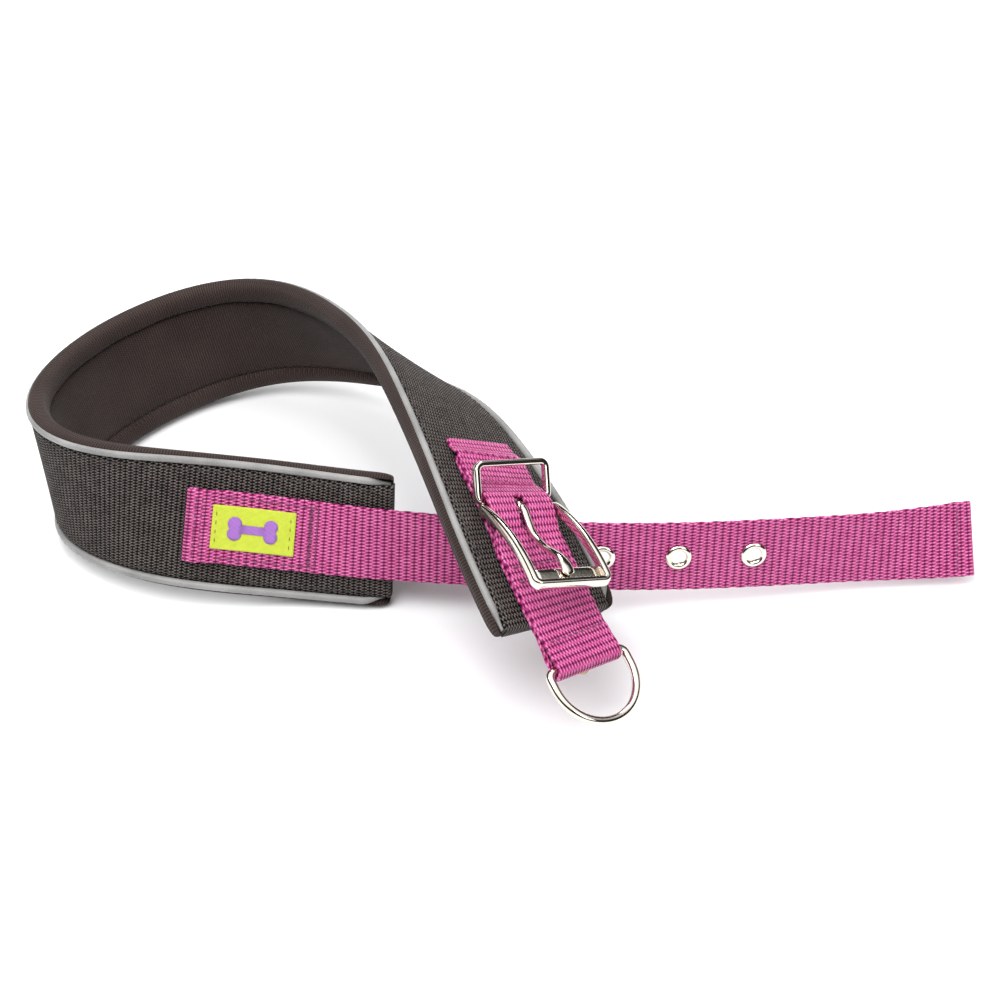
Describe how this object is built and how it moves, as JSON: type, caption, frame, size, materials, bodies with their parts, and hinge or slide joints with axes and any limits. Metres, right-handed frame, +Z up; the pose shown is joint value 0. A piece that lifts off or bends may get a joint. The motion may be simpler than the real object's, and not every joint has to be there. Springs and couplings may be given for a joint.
{
  "type": "dog collar",
  "caption": "Padded flat-buckle dog collar, unbuckled as an open loop, with a webbing strap, eyelets, a hinged buckle with prong, a keeper loop and a D ring.",
  "frame": {"origin": "centre of the bounding box in plan, at the floor the padded band stands on", "axes": "+Z up, +X along the free strap towards its tip, +Y away from the face that carries the label"},
  "size_m": [0.3168, 0.1906, 0.0672],
  "materials": {
    "black_webbing": "ribbed woven, matt",
    "reflective_piping": "light grey reflective cloth",
    "knit_neoprene": "fine knit, matt",
    "foam": "closed-cell foam",
    "magenta_webbing": "woven nylon, slight sheen",
    "woven_label": "woven satin",
    "nickel": "polished nickel plate",
    "brass": "dull brass"
  },
  "bodies": {
    "collar": {"outer_webbing": "black_webbing", "end_binding_label": "black_webbing", "end_binding_buckle": "black_webbing", "piping_upper": "reflective_piping", "piping_lower": "reflective_piping", "knit_rim_upper": "knit_neoprene", "knit_rim_lower": "knit_neoprene", "inner_panel": "knit_neoprene", "foam_pad": "foam", "tail_strap": "magenta_webbing", "buckle_strap": "magenta_webbing", "label_patch": "woven_label", "eyelet_1": "nickel", "eyelet_2": "nickel", "eyelet_3": "nickel", "eyelet_washer_1": "brass", "eyelet_washer_2": "brass", "eyelet_washer_3": "brass", "back_rivet": "brass"},
    "buckle": {"buckle_frame": "nickel"},
    "prong": {"prong": "nickel"},
    "keeper": {"keeper_loop": "nickel"},
    "ring": {"d_ring": "nickel"}
  },
  "joints": [
    {"name": "buckle_hinge", "type": "hinge", "parent": "collar", "child": "buckle", "pos_m": [0.00576, -0.02908, 0.05351], "axis": [-0.8501, -0.4059, 0.3355], "range_deg": [-3, 42]},
    {"name": "prong_hinge", "type": "hinge", "parent": "buckle", "child": "prong", "pos_m": [0.00576, -0.02908, 0.05351], "axis": [-0.8501, -0.4059, 0.3355], "range_deg": [0, 40]},
    {"name": "keeper_hinge", "type": "hinge", "parent": "collar", "child": "keeper", "pos_m": [0.00414, -0.02545, 0.0535], "axis": [-0.8264, -0.4469, 0.3425], "range_deg": [-35, 22]},
    {"name": "ring_hinge", "type": "hinge", "parent": "collar", "child": "ring", "pos_m": [0.02605, -0.0755, 0.03344], "axis": [-0.7684, -0.5982, 0.2274], "range_deg": [-110, 95]}
  ]
}
